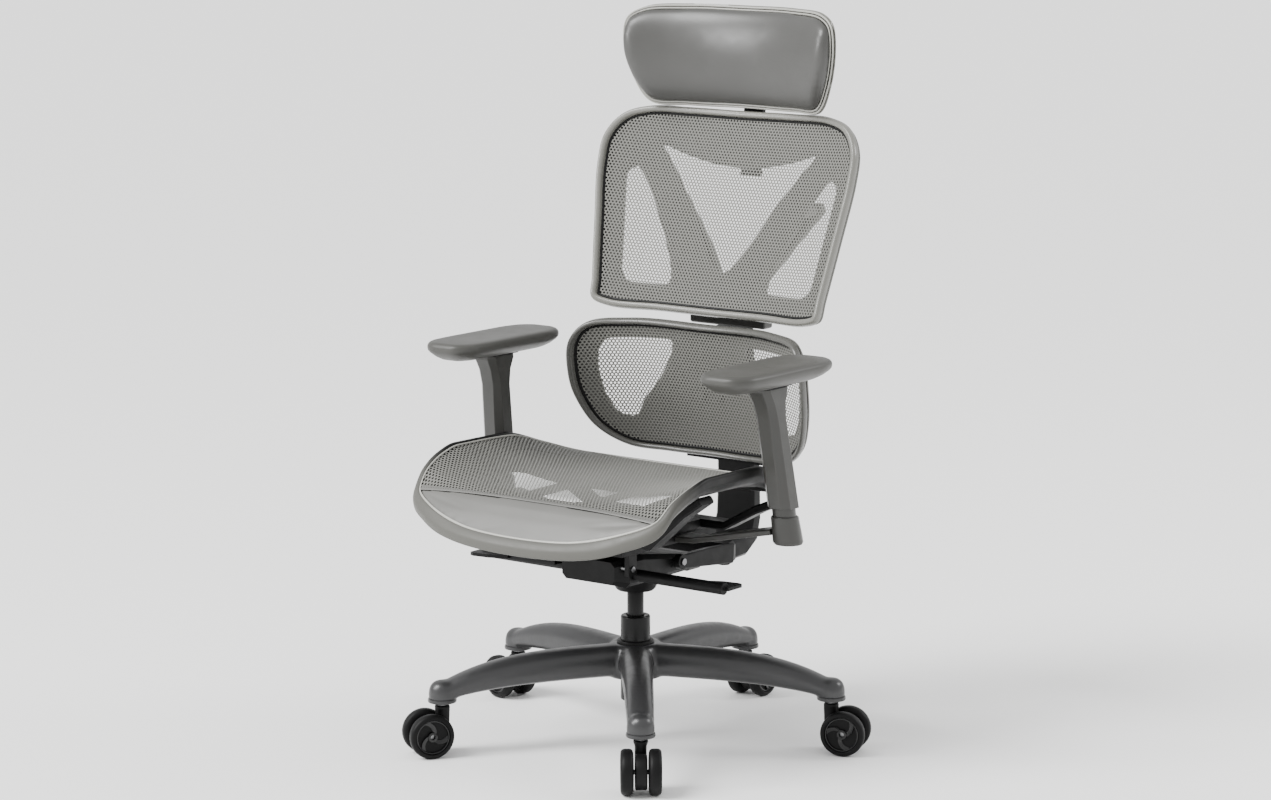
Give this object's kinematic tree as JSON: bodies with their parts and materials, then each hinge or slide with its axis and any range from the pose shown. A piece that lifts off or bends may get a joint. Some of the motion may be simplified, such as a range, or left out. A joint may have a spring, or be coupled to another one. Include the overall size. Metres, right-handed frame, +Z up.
{
  "type": "gaming chair",
  "caption": "Swivel gaming chair with mesh seat, split mesh back with lumbar panel, adjustable headrest and arms, gas lift and star base on casters.",
  "frame": {"origin": "on the floor under the middle of the chair's outline; the column axis is close by, at x 0.0041, y -0.0265 m", "axes": "+Z up, the sitter faces -Y, the sitter's left is +X"},
  "size_m": [0.7816, 0.7534, 1.2184],
  "materials": {
    "cast_housing": "satin paint",
    "cast_base": "satin",
    "steel": "satin",
    "black_metal": "satin",
    "tyre": "matt",
    "mesh_fabric": "woven mesh",
    "leather": "satin grained",
    "soft_skin": "soft matt skin",
    "light_frame": "satin",
    "shell_plastic": "matt",
    "grey_plastic": "satin",
    "black_plastic": "matt"
  },
  "bodies": {
    "base": {"star_base": "cast_base", "gas_lift_tube": "black_metal"},
    "lift_rod": {"gas_lift_rod": "steel"},
    "mechanism": {"tilt_housing": "cast_housing", "mechanism_rear_cover": "grey_plastic", "recline_pin": "steel", "seat_pivot_pin": "steel"},
    "height_lever": {"height_lever": "black_plastic"},
    "tilt_lever": {"tilt_lever": "black_plastic"},
    "seat_carrier": {"seat_carrier": "black_plastic", "left_arm_bracket": "grey_plastic", "left_arm_post": "grey_plastic", "right_arm_bracket": "grey_plastic", "right_arm_post": "grey_plastic"},
    "seat": {"seat_underframe": "black_plastic", "seat_frame": "black_plastic", "seat_mesh": "mesh_fabric", "seat_front_pad": "leather"},
    "back": {"back_bracket": "black_plastic", "lumbar_pin": "steel", "vee_support": "shell_plastic", "upper_back_bezel": "light_frame", "upper_back_mesh": "mesh_fabric", "upper_back_shell": "shell_plastic"},
    "lumbar": {"lumbar_bezel": "light_frame", "lumbar_mesh": "mesh_fabric", "lumbar_shell": "shell_plastic"},
    "headrest_slider": {"headrest_stem": "black_plastic", "headrest_pin": "steel"},
    "headrest": {"headrest_shell": "light_frame", "headrest_pad": "leather"},
    "left_sleeve": {"left_arm_sleeve": "grey_plastic"},
    "left_button": {"left_arm_button": "black_plastic"},
    "left_pad_carrier": {"left_pad_carrier": "black_plastic"},
    "left_pad": {"left_arm_pad": "soft_skin"},
    "right_sleeve": {"right_arm_sleeve": "grey_plastic"},
    "right_button": {"right_arm_button": "black_plastic"},
    "right_pad_carrier": {"right_pad_carrier": "black_plastic"},
    "right_pad": {"right_arm_pad": "soft_skin"},
    "caster_1": {"caster_body_1": "black_plastic", "caster_axle_1": "steel"},
    "wheel_left_1": {"caster_wheel_left_1": "tyre"},
    "wheel_right_1": {"caster_wheel_right_1": "tyre"},
    "caster_2": {"caster_body_2": "black_plastic", "caster_axle_2": "steel"},
    "wheel_left_2": {"caster_wheel_left_2": "tyre"},
    "wheel_right_2": {"caster_wheel_right_2": "tyre"},
    "caster_3": {"caster_body_3": "black_plastic", "caster_axle_3": "steel"},
    "wheel_left_3": {"caster_wheel_left_3": "tyre"},
    "wheel_right_3": {"caster_wheel_right_3": "tyre"},
    "caster_4": {"caster_body_4": "black_plastic", "caster_axle_4": "steel"},
    "wheel_left_4": {"caster_wheel_left_4": "tyre"},
    "wheel_right_4": {"caster_wheel_right_4": "tyre"},
    "caster_5": {"caster_body_5": "black_plastic", "caster_axle_5": "steel"},
    "wheel_left_5": {"caster_wheel_left_5": "tyre"},
    "wheel_right_5": {"caster_wheel_right_5": "tyre"}
  },
  "joints": [
    {"name": "gas_lift_height", "type": "slide", "parent": "base", "child": "lift_rod", "axis": [0, 0, 1], "range_m": [-0.025, 0.075]},
    {"name": "seat_swivel", "type": "hinge", "parent": "lift_rod", "child": "mechanism", "pos_m": [0.00413, -0.02654, 0.27], "axis": [0, 0, 1], "continuous": true},
    {"name": "height_lever_pull", "type": "hinge", "parent": "mechanism", "child": "height_lever", "pos_m": [-0.15587, -0.11854, 0.305], "axis": [-1, 0, 0], "range_deg": [0, 12], "stiffness_Nm_per_rad": 0.6, "springref_deg": -14.32},
    {"name": "tilt_lever_turn", "type": "hinge", "parent": "mechanism", "child": "tilt_lever", "pos_m": [0.16413, -0.11854, 0.305], "axis": [-1, 0, 0], "range_deg": [0, 15]},
    {"name": "back_recline", "type": "hinge", "parent": "mechanism", "child": "back", "pos_m": [0.00413, -0.00654, 0.31], "axis": [-1, 0, 0], "range_deg": [0, 22], "stiffness_Nm_per_rad": 70, "springref_deg": -25.78},
    {"name": "seat_tilt", "type": "hinge", "parent": "mechanism", "child": "seat_carrier", "pos_m": [0.00413, -0.14254, 0.32], "axis": [-1, 0, 0], "range_deg": [0, 9]},
    {"name": "seat_depth", "type": "slide", "parent": "seat_carrier", "child": "seat", "axis": [0, -1, 0], "range_m": [0, 0.05]},
    {"name": "lumbar_tilt", "type": "hinge", "parent": "back", "child": "lumbar", "pos_m": [0.00413, 0.22946, 0.56], "axis": [-1, 0, 0], "range_deg": [-4, 4], "stiffness_Nm_per_rad": 25},
    {"name": "headrest_height", "type": "slide", "parent": "back", "child": "headrest_slider", "axis": [0, 0.0872, 0.9962], "range_m": [0, 0.045]},
    {"name": "headrest_tilt", "type": "hinge", "parent": "headrest_slider", "child": "headrest", "pos_m": [0.00413, 0.32146, 1.12], "axis": [-1, 0, 0], "range_deg": [0, 20]},
    {"name": "left_arm_height", "type": "slide", "parent": "seat_carrier", "child": "left_sleeve", "axis": [-0.0592, -0.1529, 0.9865], "range_m": [0, 0.07]},
    {"name": "left_arm_button_press", "type": "slide", "parent": "left_sleeve", "child": "left_button", "axis": [0, -1, 0], "range_m": [0, 0.0025], "stiffness_N_per_m": 900, "springref_m": -0.002},
    {"name": "left_pad_swivel", "type": "hinge", "parent": "left_sleeve", "child": "left_pad_carrier", "pos_m": [0.28829, -0.05046, 0.635], "axis": [0, 0, 1], "range_deg": [-15, 15]},
    {"name": "left_pad_slide", "type": "slide", "parent": "left_pad_carrier", "child": "left_pad", "axis": [0, -1, 0], "range_m": [0, 0.04]},
    {"name": "right_arm_height", "type": "slide", "parent": "seat_carrier", "child": "right_sleeve", "axis": [0.0592, -0.1529, 0.9865], "range_m": [0, 0.07]},
    {"name": "right_arm_button_press", "type": "slide", "parent": "right_sleeve", "child": "right_button", "axis": [0, -1, 0], "range_m": [0, 0.0025], "stiffness_N_per_m": 900, "springref_m": -0.002},
    {"name": "right_pad_swivel", "type": "hinge", "parent": "right_sleeve", "child": "right_pad_carrier", "pos_m": [-0.28003, -0.05046, 0.635], "axis": [0, 0, 1], "range_deg": [-15, 15]},
    {"name": "right_pad_slide", "type": "slide", "parent": "right_pad_carrier", "child": "right_pad", "axis": [0, -1, 0], "range_m": [0, 0.04]},
    {"name": "caster_swivel_1", "type": "hinge", "parent": "base", "child": "caster_1", "pos_m": [0.21532, -0.293, 0.09], "axis": [0, 0, 1], "continuous": true},
    {"name": "caster_roll_left_1", "type": "hinge", "parent": "caster_1", "child": "wheel_left_1", "pos_m": [0.23085, -0.31259, 0.0375], "axis": [0.7837, 0.6211, 0], "continuous": true},
    {"name": "caster_roll_right_1", "type": "hinge", "parent": "caster_1", "child": "wheel_right_1", "pos_m": [0.23085, -0.31259, 0.0375], "axis": [0.7837, 0.6211, 0], "continuous": true},
    {"name": "caster_swivel_2", "type": "hinge", "parent": "base", "child": "caster_2", "pos_m": [0.32281, 0.09197, 0.09], "axis": [0, 0, 1], "continuous": true},
    {"name": "caster_roll_left_2", "type": "hinge", "parent": "caster_2", "child": "wheel_left_2", "pos_m": [0.34624, 0.10069, 0.0375], "axis": [-0.3486, 0.9373, 0], "continuous": true},
    {"name": "caster_roll_right_2", "type": "hinge", "parent": "caster_2", "child": "wheel_right_2", "pos_m": [0.34624, 0.10069, 0.0375], "axis": [-0.3486, 0.9373, 0], "continuous": true},
    {"name": "caster_swivel_3", "type": "hinge", "parent": "base", "child": "caster_3", "pos_m": [-0.0101, 0.31316, 0.09], "axis": [0, 0, 1], "continuous": true},
    {"name": "caster_roll_left_3", "type": "hinge", "parent": "caster_3", "child": "wheel_left_3", "pos_m": [-0.01115, 0.33814, 0.0375], "axis": [-0.9991, -0.0419, 0], "continuous": true},
    {"name": "caster_roll_right_3", "type": "hinge", "parent": "caster_3", "child": "wheel_right_3", "pos_m": [-0.01115, 0.33814, 0.0375], "axis": [-0.9991, -0.0419, 0], "continuous": true},
    {"name": "caster_swivel_4", "type": "hinge", "parent": "base", "child": "caster_4", "pos_m": [-0.32334, 0.06489, 0.09], "axis": [0, 0, 1], "continuous": true},
    {"name": "caster_roll_left_4", "type": "hinge", "parent": "caster_4", "child": "wheel_left_4", "pos_m": [-0.34742, 0.07161, 0.0375], "axis": [-0.2689, -0.9632, 0], "continuous": true},
    {"name": "caster_roll_right_4", "type": "hinge", "parent": "caster_4", "child": "wheel_right_4", "pos_m": [-0.34742, 0.07161, 0.0375], "axis": [-0.2689, -0.9632, 0], "continuous": true},
    {"name": "caster_swivel_5", "type": "hinge", "parent": "base", "child": "caster_5", "pos_m": [-0.18402, -0.30974, 0.09], "axis": [0, 0, 1], "continuous": true},
    {"name": "caster_roll_left_5", "type": "hinge", "parent": "caster_5", "child": "wheel_left_5", "pos_m": [-0.19785, -0.33056, 0.0375], "axis": [0.8329, -0.5534, 0], "continuous": true},
    {"name": "caster_roll_right_5", "type": "hinge", "parent": "caster_5", "child": "wheel_right_5", "pos_m": [-0.19785, -0.33056, 0.0375], "axis": [0.8329, -0.5534, 0], "continuous": true}
  ],
  "couplings": [
    {"joint": "seat_tilt", "follows": "back_recline", "ratio": 0.4}
  ]
}
